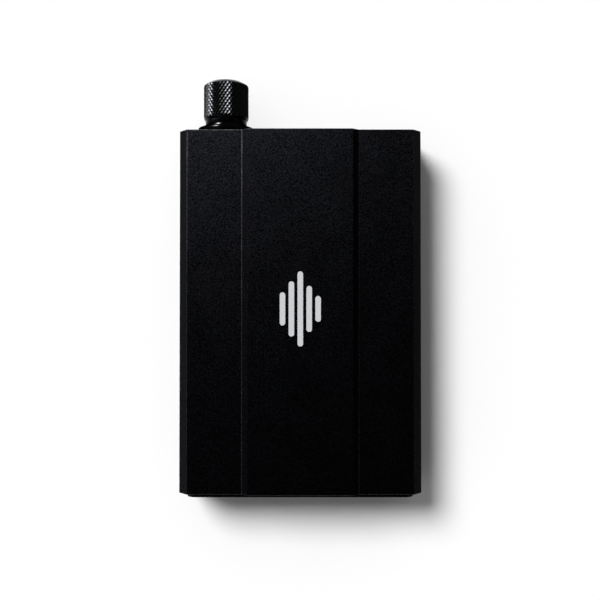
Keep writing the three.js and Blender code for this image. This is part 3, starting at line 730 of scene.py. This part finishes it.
def build_top_plate():
    inner = box_mm("top_end_plate")[0].y
    cutters = []
    for x, z in SCREW_SPOTS:
        cutters.append(round_cutter(HEAD_HOLE, TOP_FACE - HEAD_HOLE_DEPTH, TOP_FACE, x, z, 0, -0.1))
        cutters.append(round_cutter(SHANK_HOLE, inner - 1, TOP_FACE - 0.5, x, z))
    for name, nose in (("headphone_jack_ring", 3.0), ("balanced_jack_ring", 4.1)):
        low, high = box_mm(name)
        x = middle_mm(name).x
        seat = (high.x - low.x) / 2 + 0.05
        cutters.append(round_cutter(seat, TOP_FACE - 0.8, TOP_FACE, x, MID_Z, 0, -0.08))
        cutters.append(round_cutter(nose, inner - 1, TOP_FACE - 0.5, x, MID_Z))
    for radius, x, flare, facets in (
        (2.7, middle_mm("power_button").x, -0.12, 40), (0.65, middle_mm("light_pipe").x, -0.06, 24),
        (3.6, KNOB_X, -0.05, 40),
    ):
        cutters.append(round_cutter(radius, inner - 1, TOP_FACE, x, MID_Z, 0, flare, facets))
    mesh = cut_mesh(prism_y(PLATE_OUTLINE, inner, TOP_FACE, 0, 0.12), cutters)
    finish_piece(mesh, "top_plate", BLACK_PLATE, "player", ["top_end_plate"])


def build_bottom_plate():
    inner = box_mm("bottom_end_plate")[1].y
    cutters = []
    for x, z in SCREW_SPOTS:
        cutters.append(round_cutter(HEAD_HOLE, BOTTOM_FACE, BOTTOM_FACE + HEAD_HOLE_DEPTH, x, z, -0.1, 0))
        cutters.append(round_cutter(SHANK_HOLE, BOTTOM_FACE + 0.5, inner + 1, x, z))
    cutters.append(prism_y(rounded_rect(4.62, 6.5, 10.0, 1.45, 8), BOTTOM_FACE, inner + 1, -0.2, 0))
    cutters.append(prism_y(rounded_rect(5.9, 6.9, 8.4, 0.5), BOTTOM_FACE, inner + 1, -0.15, 0, 17.5))
    mesh = cut_mesh(prism_y(PLATE_OUTLINE, BOTTOM_FACE + 0.002, inner, 0.15, 0), cutters)
    finish_piece(mesh, "bottom_plate", BLACK_PLATE, "player", ["bottom_end_plate"])


build_top_plate()
build_bottom_plate()


# ---- screws ----
def hex_outline(across_flats, x, z):
    return circle(across_flats / math.sqrt(3), 6, x, z)


def screw_profile(head_top, outward):
    """[radius, y] from the head top to the tip: chamfered head, then thread grooves on the shank."""
    def at(radius, depth):
        return (radius, head_top - outward * depth)

    head = 0.95
    length = head + 6.4
    pitch = 0.4
    points = [at(0.9, 0), at(1.34, 0), at(1.46, 0.07), at(1.5, 0.16)]
    points += [at(1.5, head - 0.06), at(1.45, head), at(0.78, head)]
    for turn in range(14):
        start = head + 0.5 + turn * pitch
        points += [at(0.74, start), at(0.62, start + 0.17), at(0.62, start + 0.21), at(0.74, start + 0.38)]
    return points + [at(0.74, length - 0.25), at(0.5, length)]


def build_end_screws():
    for index, (x, z) in enumerate(SCREW_SPOTS):
        for end, face, outward in (("top", TOP_FACE, 1), ("bottom", BOTTOM_FACE, -1)):
            head_top = face - outward * 0.1
            low, high = sorted((head_top + outward * 0.1, head_top - outward * 0.6))
            flares = (0, -0.06) if outward > 0 else (-0.06, 0)
            socket = prism_y(hex_outline(1.5, x, z), low, high, *flares)
            mesh = cut_mesh(turned(screw_profile(head_top, outward), x, z, 36), [socket])
            name = f"{end}_screw_{index + 1}"
            finish_piece(mesh, f"{name}_turned", SCREW_STEEL, "player", [name], 30)


build_end_screws()


def build_set_screw():
    low, high = box_mm("knob_set_screw")
    centre = middle_mm("knob_set_screw")
    radius = (high.x - low.x) / 2
    profile = [(0.6, low.z), (0.86, low.z), (radius, low.z + 0.12)]
    level = low.z + 0.12
    while level + 0.5 < high.z:
        profile += [(radius, level + 0.14), (radius - 0.13, level + 0.24), (radius - 0.13, level + 0.28)]
        profile += [(radius, level + 0.4)]
        level += 0.4
    profile += [(radius, high.z - 0.2), (radius - 0.3, high.z)]
    solid = turned_up(profile, centre.x, centre.y, 32)
    socket = prism_z(circle(0.5, 6), low.z - 0.1, low.z + 1.2, -0.05, 0, centre.x, centre.y)
    mesh = cut_mesh(solid, [socket])
    finish_piece(mesh, "knob_set_screw_cut", SCREW_STEEL, "knob", ["knob_set_screw"], 30)


build_set_screw()


# ---- encoder nut ----
def build_encoder_nut():
    """Hexagon nut with its corners turned off at both faces."""
    low, high = box_mm("encoder_nut")
    hexagon = prism_y(hex_outline(10.0, KNOB_X, MID_Z), low.y, high.y)
    profile = [(5.3, low.y), (5.76, low.y + 0.28), (5.76, high.y - 0.28), (5.3, high.y)]
    crown = turned(profile, KNOB_X, MID_Z, 72)
    bore = round_cutter(3.55, low.y - 0.5, high.y + 0.5, KNOB_X, MID_Z)
    mesh = cut_mesh(hexagon, [bore], crown)
    finish_piece(mesh, "encoder_nut_cut", GILT, "player", ["encoder_nut"], 30)


build_encoder_nut()


# ---- top end fittings ----
def build_jack_ring(name, bore):
    """Turned trim ring: rounded lip, then a shallow cone leading into the bore and a spring contact."""
    low, high = box_mm(name)
    x = middle_mm(name).x
    radius = (high.x - low.x) / 2
    base = low.y
    lip = high.y
    profile = [
        (bore, base), (radius - 0.05, base), (radius, base + 0.05), (radius, lip - 0.16),
        (radius - 0.05, lip - 0.06), (radius - 0.16, lip), (radius - 0.62, lip), (radius - 0.74, lip - 0.06),
        (radius - 0.8, lip - 0.16), (bore + 0.3, lip - 0.26), (bore + 0.1, lip - 0.34), (bore, lip - 0.46),
    ]
    ring = turned_ring(profile, x, MID_Z)
    finish_piece(ring, f"{name}_turned", RING_METAL, "player", [name], 28)
    profile = [(bore - 0.02, lip - 1.6), (bore - 0.02, lip - 2.4)]
    profile += [(bore - 0.16, lip - 2.3), (bore - 0.16, lip - 1.7)]
    contact = turned_ring(profile, x, MID_Z, 48)
    finish_piece(contact, f"{name}_contact", GILT, "player", (), 28)


build_jack_ring("headphone_jack_ring", 1.8)
build_jack_ring("balanced_jack_ring", 2.25)


def build_power_button():
    """Round button with a raised rim and a dished face; its flange stays behind the plate."""
    low, high = box_mm("power_button")
    radius = 2.5
    flange = (high.x - low.x) / 2
    base = low.y
    top = high.y
    profile = [
        (1.0, base), (flange - 0.08, base), (flange, base + 0.08), (flange, base + 0.72),
        (flange - 0.08, base + 0.8), (radius + 0.02, base + 0.8), (radius, base + 0.86), (radius, top - 0.25),
        (radius - 0.05, top - 0.1), (radius - 0.15, top - 0.02), (radius - 0.27, top),
        (radius - 0.4, top - 0.02), (radius - 0.75, top - 0.12), (1.2, top - 0.19), (0.5, top - 0.22),
        (0.1, top - 0.225),
    ]
    button = turned(profile, middle_mm("power_button").x, MID_Z, 72)
    finish_piece(button, "power_button_turned", KEY_METAL, "power_button", ["power_button"], 28)


build_power_button()


def build_light_pipe():
    """Small clear rod with a domed end."""
    low, high = box_mm("light_pipe")
    radius = (high.x - low.x) / 2
    base = low.y
    top = high.y
    profile = [
        (radius - 0.1, base), (radius, base + 0.1), (radius, top - 0.14), (radius - 0.06, top - 0.07),
        (radius - 0.2, top - 0.025), (radius - 0.4, top - 0.003), (0.05, top),
    ]
    pipe = turned(profile, middle_mm("light_pipe").x, MID_Z, 36)
    finish_piece(pipe, "light_pipe_turned", PIPE_PLASTIC, "player", ["light_pipe"], 40)


build_light_pipe()


# ---- bottom end fittings ----
def build_usb_socket():
    """Drawn shell with a rolled mouth, seam and latch windows; separate tongue with gilt contacts."""
    low, high = box_mm("usb_socket")
    half = (high.x - low.x) / 2
    outer = low.y
    inner = high.y
    wall = 0.35
    shell = prism_y(rounded_rect(half, low.z, high.z, 1.3, 8), outer, inner, 0.09, 0.15)
    mouth = rounded_rect(half - wall, low.z + wall, high.z - wall, 1.3 - wall, 8)
    cutters = [prism_y(mouth, outer - 0.001, inner - 1.0, -0.12, 0)]
    for x in (-2.4, 2.4):
        window = rounded_rect(0.55, outer + 3.4, outer + 4.9, 0.2, 3, x)
        cutters.append(prism_z(window, high.z - 0.6, high.z + 0.2))
        cutters.append(prism_z(window, low.z - 0.2, low.z + 0.6))
    seam = rounded_rect(0.04, outer + 2.6, inner + 0.5, 0.01, 1)
    cutters.append(prism_z(seam, high.z - 0.2, high.z + 0.2))
    finish_piece(cut_mesh(shell, cutters), "usb_shell", TINNED, "player", ["usb_socket"], 30)

    middle = (low.z + high.z) / 2
    tip = outer + 1.0
    section = rounded_rect(3.3, middle - 0.33, middle + 0.33, 0.12, 3)
    tongue = prism_y(section, tip, inner - 0.6, 0.1, 0)
    finish_piece(tongue, "usb_tongue", BLACK_PLASTIC, "player", ())
    for side, level in (("lower", middle - 0.345), ("upper", middle + 0.345)):
        strips = []
        for index in range(12):
            x = (index - 5.5) * 0.5
            start = tip + (0.55 if abs(x) in (0.25, 2.75) else 0.75)
            strip = rounded_rect(0.125, start, tip + 4.6, 0.05, 2, x)
            strips.append(prism_z(strip, level - 0.018, level + 0.018, 0.01, 0.01))
        finish_piece(merged(strips), f"usb_contacts_{side}", GILT, "player", ())


build_usb_socket()


def build_card_socket():
    """Folded can with a flared slot, three windows in its roof and eight contacts inside."""
    low, high = box_mm("card_socket")
    half = (high.x - low.x) / 2
    x = middle_mm("card_socket").x
    outer = low.y
    inner = high.y
    can = prism_y(rounded_rect(half, low.z, high.z, 0.18, 4), outer, inner, 0.06, 0.06, x)
    slot = rounded_rect(5.7, low.z + 0.4, high.z - 0.25, 0.12, 3)
    cutters = [prism_y(slot, outer - 0.001, inner - 1.2, -0.12, 0, x)]
    for dx, half_width, start, end, corner in (
        (-3.6, 0.6, 4.5, 9.0, 0.25), (3.6, 0.6, 4.5, 9.0, 0.25), (0.0, 1.6, 1.6, 2.6, 0.4),
    ):
        window = rounded_rect(half_width, outer + start, outer + end, corner, 4, x + dx)
        cutters.append(prism_z(window, high.z - 0.15, high.z + 0.2))
    finish_piece(cut_mesh(can, cutters), "card_can", TINNED, "player", ["card_socket"], 30)
    strips = []
    for index in range(8):
        strip = rounded_rect(0.3, outer + 9.0, inner - 1.4, 0.1, 2, x - 3.85 + 1.1 * index)
        strips.append(prism_z(strip, low.z + 0.4, low.z + 0.52, 0, 0.03))
    finish_piece(merged(strips), "card_contacts", GILT, "player", ())


build_card_socket()


# ---- display ----
def build_display():
    """Cover glass with a printed border behind it, and the module with its screen behind that."""
    low, high = box_mm("display_glass")
    half = (high.x - low.x) / 2
    slab = prism_z(rounded_rect(half, low.y, high.y, 2.5, 10), low.z, high.z - 0.04, 0.16, 0.05)
    finish_piece(slab, "display_glass_slab", COVER_GLASS, "player", ["display_glass"], 40)

    border = prism_z(rounded_rect(half - 0.1, low.y + 0.1, high.y - 0.1, 2.4, 10), high.z - 0.035, high.z)
    opening = prism_z(rounded_rect(25.6, 6.4, 41.6, 0.6, 5), high.z - 0.2, high.z + 0.2)
    finish_piece(cut_mesh(border, [opening]), "display_border", MASK_PRINT, "player", ())

    low, high = box_mm("display_panel")
    screen_back = low.z + 0.25
    module = prism_z(rounded_rect(high.x, low.y, high.y, 0.9, 5), screen_back, high.z, 0.05, 0.1)
    finish_piece(module, "display_module", TINNED, "player", ["display_panel"])
    face = rounded_rect(high.x - 0.15, low.y + 0.15, high.y - 0.15, 0.8, 5)
    screen = prism_z(face, low.z, screen_back, 0.04, 0)
    finish_piece(screen, "display_screen", SCREEN, "player", ())


build_display()


# ---- keys ----
def key_symbols(name):
    """Outlines of a key's symbol, in millimetres about the middle of the key."""
    def triangle(x, way):
        """Points toward +X, or toward -X if way is -1."""
        reach = way * 0.76
        return [(x - reach, -0.95), (x + reach, 0.0), (x - reach, 0.95)]

    def bar(x, width):
        return [(x + sx * width / 2, sy * 0.95) for sx, sy in ((-1, -1), (1, -1), (1, 1), (-1, 1))]

    if name == "play_key":
        return [triangle(0.95, -1), bar(-0.55, 0.36), bar(-1.25, 0.36)]
    if name == "previous_key":
        return [triangle(0.75, 1), triangle(-0.75, 1), bar(1.75, 0.32)]
    if name == "next_key":
        return [triangle(-0.75, -1), triangle(0.75, -1), bar(-1.75, 0.32)]
    return [[(1.5, 0.0), (0.2, 0.95), (0.2, 0.32), (-1.5, 0.32), (-1.5, -0.32), (0.2, -0.32), (0.2, -0.95)]]


def counter_clockwise(points):
    outline = [Vector(point) for point in points]
    area = sum(a.x * b.y - b.x * a.y for a, b in zip(outline, outline[1:] + outline[:1]))
    return outline if area > 0 else outline[::-1]


# Inset of a key's outline and height above its face: the dish, the rim and the rounded edge.
KEY_FACE = (
    (1.3, 0.1), (0.95, 0.085), (0.6, 0.04), (0.34, 0.004),
    (0.24, 0.0), (0.14, 0.015), (0.05, 0.08), (0.0, 0.2),
)


def build_keys():
    """Pill-shaped caps with a dished face, a flange behind the case wall and a symbol in the dish."""
    for name in KEY_NAMES:
        low, high = box_mm(name)
        centre = middle_mm(name)
        steps = [(amount, low.z + height) for amount, height in KEY_FACE]
        steps += [(0.0, 2.02), (-0.04, 2.08), (-0.92, 2.1), (-1.0, 2.16)]
        steps += [(-1.0, high.z - 0.08), (-0.92, high.z)]
        cap = stacked(pill(KEY_HALF_WIDTH, KEY_HALF_DEPTH, 10), steps, centre.x, centre.y)
        finish_piece(cap, f"{name}_cap", KEY_METAL, name, [name], 28)
        inked = []
        for points in key_symbols(name):
            outline = counter_clockwise(points)
            inked.append(prism_z(outline, low.z + 0.082, low.z + 0.13, 0, 0, centre.x, centre.y))
        finish_piece(merged(inked), f"{name}_symbol", PALE_INK, name, (), 20)


build_keys()


# ---- battery and capacitors ----
def build_battery():
    """Pouch cell with a rounded body and a folded sealing flap at the connector end."""
    low, high = box_mm("battery_pack")
    shoulder = ((1.1, 0.0), (0.5, 0.12), (0.12, 0.5), (0.0, 1.1))
    steps = [(amount, low.z + height) for amount, height in shoulder]
    steps += [(amount, high.z - height) for amount, height in reversed(shoulder)]
    pouch = stacked(rounded_rect(high.x, low.y, high.y - 2.2, 1.6, 6), steps)
    finish_piece(pouch, "battery_pouch", FOIL, "player", ["battery_pack"], 40)
    middle = middle_mm("battery_pack").z
    fold = rounded_rect(high.x - 0.6, high.y - 2.6, high.y, 0.4, 4)
    flap = prism_z(fold, middle - 0.3, middle + 0.3, 0.12, 0.12)
    finish_piece(flap, "battery_flap", FOIL, "player", ())


build_battery()


def build_capacitors():
    """Rolled aluminium cans: crimped waist, rounded shoulder and a cross scored in the top."""
    for index in range(4):
        name = f"capacitor_{index + 1}"
        low, high = box_mm(name)
        centre = middle_mm(name)
        radius = (high.x - low.x) / 2
        base = low.z
        top = high.z
        profile = [
            (radius - 0.15, base), (radius, base + 0.12), (radius, base + 0.5), (radius - 0.16, base + 0.68),
            (radius - 0.16, base + 0.82), (radius, base + 1.0), (radius, top - 0.3),
            (radius - 0.09, top - 0.09), (radius - 0.3, top), (0.3, top),
        ]
        scores = []
        for angle in (0.4, 0.4 + math.pi / 2):
            turn = Matrix.Rotation(angle, 2)
            corners = ((-1.7, -0.06), (1.7, -0.06), (1.7, 0.06), (-1.7, 0.06))
            groove = [turn @ Vector(corner) for corner in corners]
            scores.append(prism_z(groove, top - 0.1, top + 0.1, 0, 0, centre.x, centre.y))
        can = cut_mesh(turned_up(profile, centre.x, centre.y, 40), scores)
        finish_piece(can, f"{name}_can", TINNED, "player", [name], 30)


build_capacitors()


# ---- finishes for the pieces kept as they are ----
# Material, width of the rounded edges in millimetres, and the CAD nodes that get them.
KEPT = (
    (ZINC, 0.15, ("encoder_body",)),
    (TINNED, 0.1, ("encoder_shaft",)),
    (TINNED, 0.12, ("shield_can",)),
    (BLACK_PLASTIC, 0.15, ("headphone_jack", "balanced_jack")),
    (BLACK_PLASTIC, 0.1, ("power_switch", "back_switch", "previous_switch", "play_switch", "next_switch")),
    (RUBBER, 0.03, ("display_gasket",)),
    (RUBBER, 0.1, ("battery_pad",)),
    (RIBBON_FILM, 0.04, ("display_ribbon",)),
    (GREEN_BOARD, 0.06, ("main_board",)),
    (BLUE_BOARD, 0.06, ("audio_board",)),
    (PALE_PLASTIC, 0.2, ("board_connector", "battery_plug")),
    (CHIP_EPOXY, 0.1, (
        "processor_chip", "memory_chip", "dac_chip", "left_amplifier_chip", "right_amplifier_chip",
    )),
)
for finish, edge_mm, names in KEPT:
    for node_name in names:
        kept = NODES[node_name]
        kept.data.materials.clear()
        kept.data.materials.append(finish)
        rounding = kept.modifiers.new("rounding", "BEVEL")
        rounding.width = edge_mm * MM
        rounding.segments = 2
        rounding.limit_method = "ANGLE"
        rounding.angle_limit = math.radians(40)
        rounding.harden_normals = False


# ---- printed mark ----
def build_mark():
    """Five sound-level bars printed on the raised panel."""
    middle_y = 0.7
    pitch = 2.42
    for index, height in enumerate((9.0, 15.0, 20.4, 12.5, 7.0)):
        bar = rounded_rect(0.76, -height / 2, height / 2, 0.74, 6, (index - 2) * pitch)
        made = prism_z(bar, PANEL_TOP - 0.01, PANEL_TOP + 0.018, y=middle_y)
        finish_piece(made, f"mark_bar_{index + 1}", PALE_INK, "player", ())


build_mark()


# ---- floor ----
def build_floor():
    """Sheet of white paper, left out of reflections."""
    half = 2.0
    corners = [(-half, -half, 0), (half, -half, 0), (half, half, 0), (-half, half, 0)]
    mesh = bpy.data.meshes.new("floor")
    mesh.from_pydata(corners, [], [(0, 1, 2, 3)])
    paper, g = new_material("floor_paper")
    shade = g.mix(g.noise(g.place(), 60.0, 2.0), grey(0.815), grey(0.825))
    g.surface(Base_Color=shade, Roughness=0.9, Specular_IOR_Level=0.0)
    mesh.materials.append(paper)
    floor = bpy.data.objects.new("floor", mesh)
    bpy.context.collection.objects.link(floor)
    floor.visible_glossy = False


build_floor()


# ---- lamps ----
def sun_light(name, toward, energy, angle, diffuse, glossy):
    """Lamp far away in the direction toward; a wider angle in degrees makes it softer.
    diffuse lights matt surfaces, glossy shows as a reflection."""
    data = bpy.data.lights.new(name, "SUN")
    data.energy = energy
    data.angle = math.radians(angle)
    lamp = bpy.data.objects.new(name, data)
    lamp.rotation_mode = "QUATERNION"
    lamp.rotation_quaternion = Vector(toward).to_track_quat("Z", "Y")
    lamp.visible_diffuse = diffuse
    lamp.visible_glossy = glossy
    bpy.context.collection.objects.link(lamp)
    return lamp.light_linking


def picked(name, prefixes, link_state="INCLUDE"):
    """Collection of the pieces whose names start with one of the prefixes, to light or to leave out."""
    group = bpy.data.collections.new(name)
    for made in bpy.context.scene.objects:
        if made.name.startswith(prefixes):
            group.objects.link(made)
    for entry in group.collection_objects:
        entry.light_linking.link_state = link_state
    return group


KNOB_PIECES = ("volume_knob", "knob_collar", "knob_set_screw", "encoder_")
# The soft key lights matt surfaces only, and the knob's pieces throw no shadow from it.
key_soft = sun_light("key_soft", (-0.592, 0.614, 1.0), 3.95, 26.2, True, False)
key_soft.blocker_collection = picked("no_shadow", KNOB_PIECES, "EXCLUDE")
case_only = picked("case_only", KNOB_PIECES, "EXCLUDE")
knob_only = picked("knob_only", KNOB_PIECES)
knurl_only = picked("knurl_only", ("volume_knob",))
collar_only = picked("collar_only", ("knob_collar",))
# These show only as reflections, each on the pieces of its own collection.
for name, toward, energy, angle, receivers in (
    ("key_gloss", (-0.25, 0.58, 1.0), 2.2, 14.0, case_only),
    ("side_gloss", (-1.98, 1.0, 1.0), 2.15, 24.0, case_only),
    ("knob_gloss", (-1.0, 1.15, 1.0), 7.0, 26.0, knob_only),
    ("knob_wide_gloss", (-1.9, 1.6, 1.0), 8.0, 52.0, knurl_only),
    ("collar_gloss", (-0.95, 1.09, 1.0), 7.0, 10.0, collar_only),
):
    sun_light(name, toward, energy, angle, False, True).receiver_collection = receivers
sun_light("under_fill", (-0.5, -0.6, -1.0), 2.4, 20.0, True, True)

# ---- surroundings ----
world = bpy.data.worlds.new("studio")
bpy.context.scene.world = world
sky = Graph(world)
axes = sky.add("ShaderNodeSeparateXYZ", {0: sky.add("ShaderNodeTexCoord").outputs["Generated"]}).outputs
SIDES = (("left", "X", -1.0), ("right", "X", 1.0), ("back", "Y", 1.0), ("front", "Y", -1.0))
share = {
    side: sky.math("MAXIMUM", sky.math("MULTIPLY", axes[axis], sign), 0.0) for side, axis, sign in SIDES
}


def weighted(base, **weights):
    """Brightness that grows from base toward each named side."""
    total = base
    for side, weight in weights.items():
        total = sky.math("ADD", sky.math("MULTIPLY", share[side], weight), total)
    return total


def across(start, end, at_start, at_end):
    """Brightness that goes from start to end between two heights of the direction."""
    return sky.span(axes["Z"], start, end, at_start, at_end)


# Matt surfaces are lit by matt_sky; reflections show high_sky, low_bounce and far_panels added up.
matt_sky = weighted(0.07, left=0.53, back=0.52)
high_sky = weighted(0.002, left=0.23, back=0.3)
low_sides = weighted(0.65, left=0.3, back=1.0, front=0.7)
low_bounce = sky.math("MULTIPLY", across(1.3, 0.0, -0.7, -0.16), low_sides)
band = sky.math("MULTIPLY", across(0.0, 1.0, 0.12, 0.35), across(1.0, 0.0, 0.55, 0.76))
far_panels = sky.math("MULTIPLY", band, weighted(0.0, front=1.1, right=0.08))
gloss_sky = sky.math("ADD", sky.math("ADD", high_sky, low_bounce), far_panels)
PAPER_WHITE = 0.95
rays = sky.add("ShaderNodeLightPath").outputs
indirect = sky.add("ShaderNodeMix", {0: rays["Is Glossy Ray"], 2: matt_sky, 3: gloss_sky}, data_type="FLOAT")
seen = {0: rays["Is Camera Ray"], 2: indirect.outputs[0], 3: PAPER_WHITE}
strength = sky.add("ShaderNodeMix", seen, data_type="FLOAT").outputs[0]
background = sky.add("ShaderNodeBackground", {"Color": (1, 1, 1, 1), "Strength": strength})
sky.add("ShaderNodeOutputWorld", {"Surface": background.outputs[0]})
